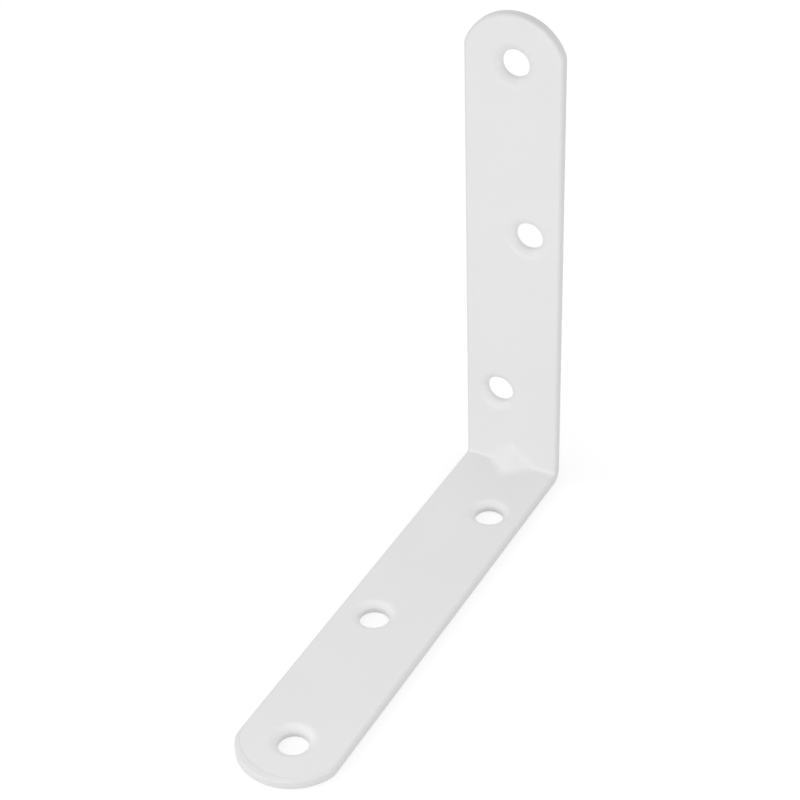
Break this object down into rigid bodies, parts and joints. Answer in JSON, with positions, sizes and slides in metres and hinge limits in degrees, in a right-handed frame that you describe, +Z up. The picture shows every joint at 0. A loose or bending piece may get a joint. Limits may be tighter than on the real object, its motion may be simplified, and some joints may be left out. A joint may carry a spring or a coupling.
{
  "type": "angle bracket",
  "caption": "White painted steel angle bracket: a flat strip with round ends, folded at a right angle and stiffened by a pressed dart, with staggered countersunk screw holes.",
  "frame": {"origin": "the outside corner of the fold, where the planes of the back and the underside meet, at the middle of the strip's width", "axes": "+X along the lower arm, +Z up along the upper arm, +Y across the width"},
  "size_m": [0.1, 0.0196, 0.1],
  "materials": {
    "white_paint": "smooth semi-gloss white paint on steel, soft at the edges"
  },
  "bodies": {
    "root": {"bracket": "white_paint"}
  },
  "joints": []
}
